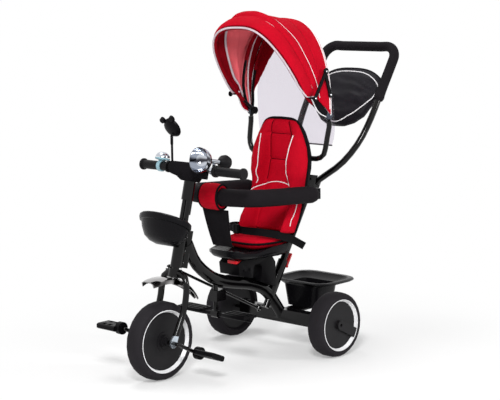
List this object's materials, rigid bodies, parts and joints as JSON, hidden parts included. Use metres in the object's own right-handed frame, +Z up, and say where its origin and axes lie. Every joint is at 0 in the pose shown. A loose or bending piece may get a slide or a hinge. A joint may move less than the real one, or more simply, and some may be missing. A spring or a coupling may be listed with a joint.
{
  "type": "children's tricycle",
  "caption": "Children's tricycle with a parent steering handle, swivelling padded seat with safety ring and lap belt, folding canopy, basket, rear bin and pedals.",
  "frame": {"origin": "on the floor, in the middle of the bounding box", "axes": "+Z up, -Y is forward, and +X is the rider's left"},
  "size_m": [0.504, 1.1008, 1.0788],
  "materials": {
    "black_paint": "gloss",
    "black_plastic": "satin",
    "foam_rubber": "matte",
    "tyre_rubber": "matte",
    "wheel_core_plastic": "satin",
    "white_trim": "gloss",
    "zinc": "satin",
    "chrome": "polished",
    "red_plastic": "gloss",
    "red_fabric": "woven",
    "black_fabric": "woven",
    "pale_blue_plastic": "gloss",
    "mirror_glass": "polished",
    "window_film": "translucent"
  },
  "bodies": {
    "frame": {"main_frame": "black_paint", "seat_base": "black_plastic", "rear_bin": "black_plastic"},
    "steering_assembly": {"fork": "black_paint", "dropout_left": "zinc", "dropout_right": "zinc", "mudguard": "black_plastic", "handlebar_stem": "black_paint", "handlebar": "black_paint", "bar_cover": "black_plastic", "grip_left": "foam_rubber", "grip_right": "foam_rubber", "bell_base": "pale_blue_plastic", "bell_dome": "chrome", "mirror_stem": "black_plastic", "horn_trumpet": "chrome", "horn_bulb": "foam_rubber", "front_basket": "black_plastic"},
    "mirror": {"mirror_housing": "black_plastic", "mirror_glass": "mirror_glass"},
    "front_wheel": {"front_tyre": "tyre_rubber", "front_wheel_core": "wheel_core_plastic", "front_trim_ring_left": "white_trim", "front_trim_ring_right": "white_trim", "pedal_crank": "black_paint"},
    "left_pedal": {"pedal_left": "black_plastic"},
    "right_pedal": {"pedal_right": "black_plastic"},
    "left_rear_wheel": {"rear_tyre_left": "tyre_rubber", "rear_wheel_core_left": "wheel_core_plastic", "rear_trim_ring_left": "white_trim"},
    "right_rear_wheel": {"rear_tyre_right": "tyre_rubber", "rear_wheel_core_right": "wheel_core_plastic", "rear_trim_ring_right": "white_trim"},
    "rod": {"steering_rod": "black_paint"},
    "parent_handle": {"handle_post": "black_paint", "handle_tube": "black_paint", "handle_foam": "foam_rubber", "storage_bag": "black_fabric"},
    "handle_release": {"release_lever": "red_plastic"},
    "seat": {"seat_shell": "black_plastic", "seat_cushion": "red_fabric", "backrest_cushion": "red_fabric", "lap_belt": "black_fabric", "canopy_support": "black_paint", "rear_hoops": "black_plastic", "canopy_rear_fabric": "red_fabric", "rear_window": "window_film"},
    "canopy_front": {"front_hoop": "black_plastic", "canopy_front_fabric": "red_fabric"},
    "left_stay_rear": {"canopy_stay_rear_left": "black_plastic"},
    "left_stay_front": {"canopy_stay_front_left": "black_plastic"},
    "right_stay_rear": {"canopy_stay_rear_right": "black_plastic"},
    "right_stay_front": {"canopy_stay_front_right": "black_plastic"},
    "bumper": {"bumper_ring": "foam_rubber", "bumper_pad": "red_fabric", "crotch_strap": "black_fabric"},
    "seat_latch": {"swivel_latch": "red_plastic"},
    "foot_rest": {"footrest": "black_plastic"},
    "left_brake": {"brake_pedal_left": "red_plastic"},
    "right_brake": {"brake_pedal_right": "red_plastic"}
  },
  "joints": [
    {"name": "steering", "type": "hinge", "parent": "frame", "child": "steering_assembly", "pos_m": [0, -0.35839, 0.33], "axis": [0, 0.2588, 0.9659], "range_deg": [-30, 30]},
    {"name": "handle_turn", "type": "hinge", "parent": "frame", "child": "parent_handle", "pos_m": [0, 0.06792, 0.191], "axis": [0, 0.5225, 0.8526], "range_deg": [-30, 30]},
    {"name": "rod_swing", "type": "hinge", "parent": "steering_assembly", "child": "rod", "pos_m": [-0.028, -0.35839, 0.33], "axis": [0, 0.2588, 0.9659], "range_deg": [-30, 30]},
    {"name": "front_wheel_spin", "type": "hinge", "parent": "steering_assembly", "child": "front_wheel", "pos_m": [0, -0.43139, 0.119], "axis": [1, 0, 0], "continuous": true},
    {"name": "left_pedal_spin", "type": "hinge", "parent": "front_wheel", "child": "left_pedal", "pos_m": [0.076, -0.36075, 0.08144], "axis": [1, 0, 0], "continuous": true},
    {"name": "right_pedal_spin", "type": "hinge", "parent": "front_wheel", "child": "right_pedal", "pos_m": [-0.076, -0.50202, 0.15656], "axis": [1, 0, 0], "continuous": true},
    {"name": "left_rear_wheel_spin", "type": "hinge", "parent": "frame", "child": "left_rear_wheel", "pos_m": [0.223, 0.11162, 0.1025], "axis": [1, 0, 0], "continuous": true},
    {"name": "right_rear_wheel_spin", "type": "hinge", "parent": "frame", "child": "right_rear_wheel", "pos_m": [-0.223, 0.11162, 0.1025], "axis": [1, 0, 0], "continuous": true},
    {"name": "seat_swivel", "type": "hinge", "parent": "frame", "child": "seat", "pos_m": [0, -0.02839, 0.318], "axis": [0, 0, 1], "range_deg": [-90, 90]},
    {"name": "canopy_fold", "type": "hinge", "parent": "seat", "child": "canopy_front", "pos_m": [0, 0.16162, 0.756], "axis": [-1, 0, 0], "range_deg": [0, 20], "deforming": ["canopy_front_fabric"]},
    {"name": "left_stay_rear_fold", "type": "hinge", "parent": "seat", "child": "left_stay_rear", "pos_m": [0.175, 0.15762, 0.82], "axis": [-1, 0, 0], "range_deg": [0, 38]},
    {"name": "left_stay_front_fold", "type": "hinge", "parent": "left_stay_rear", "child": "left_stay_front", "pos_m": [0.175, 0.13362, 0.895], "axis": [-1, 0, 0], "range_deg": [-17, 0]},
    {"name": "right_stay_rear_fold", "type": "hinge", "parent": "seat", "child": "right_stay_rear", "pos_m": [-0.175, 0.15762, 0.82], "axis": [-1, 0, 0], "range_deg": [0, 38]},
    {"name": "right_stay_front_fold", "type": "hinge", "parent": "right_stay_rear", "child": "right_stay_front", "pos_m": [-0.175, 0.13362, 0.895], "axis": [-1, 0, 0], "range_deg": [-17, 0]},
    {"name": "bumper_swing", "type": "hinge", "parent": "seat", "child": "bumper", "pos_m": [0, 0.10562, 0.508], "axis": [-1, 0, 0], "range_deg": [0, 60]},
    {"name": "seat_latch_slide", "type": "slide", "parent": "frame", "child": "seat_latch", "axis": [0, -1, 0], "range_m": [0, 0.008], "stiffness_N_per_m": 200},
    {"name": "footrest_fold", "type": "hinge", "parent": "frame", "child": "foot_rest", "pos_m": [0, -0.19138, 0.158], "axis": [1, 0, 0], "range_deg": [0, 90]},
    {"name": "left_brake_press", "type": "hinge", "parent": "frame", "child": "left_brake", "pos_m": [0.181, 0.13262, 0.118], "axis": [-1, 0, 0], "range_deg": [0, 12]},
    {"name": "right_brake_press", "type": "hinge", "parent": "frame", "child": "right_brake", "pos_m": [-0.181, 0.13262, 0.118], "axis": [-1, 0, 0], "range_deg": [0, 12]},
    {"name": "mirror_tilt", "type": "hinge", "parent": "steering_assembly", "child": "mirror", "pos_m": [-0.088, -0.27764, 0.71326], "axis": [1, 0, 0], "range_deg": [-12, 12]},
    {"name": "handle_release_press", "type": "hinge", "parent": "frame", "child": "handle_release", "pos_m": [0, 0.13415, 0.25831], "axis": [1, 0, 0], "range_deg": [-12, 0], "stiffness_Nm_per_rad": 0.3}
  ],
  "couplings": [
    {"joint": "handle_turn", "follows": "steering", "ratio": 1},
    {"joint": "rod_swing", "follows": "steering", "ratio": -1},
    {"joint": "left_stay_rear_fold", "follows": "canopy_fold", "ratio": 1.88},
    {"joint": "left_stay_front_fold", "follows": "canopy_fold", "ratio": -0.8},
    {"joint": "right_stay_rear_fold", "follows": "canopy_fold", "ratio": 1.88},
    {"joint": "right_stay_front_fold", "follows": "canopy_fold", "ratio": -0.8}
  ]
}
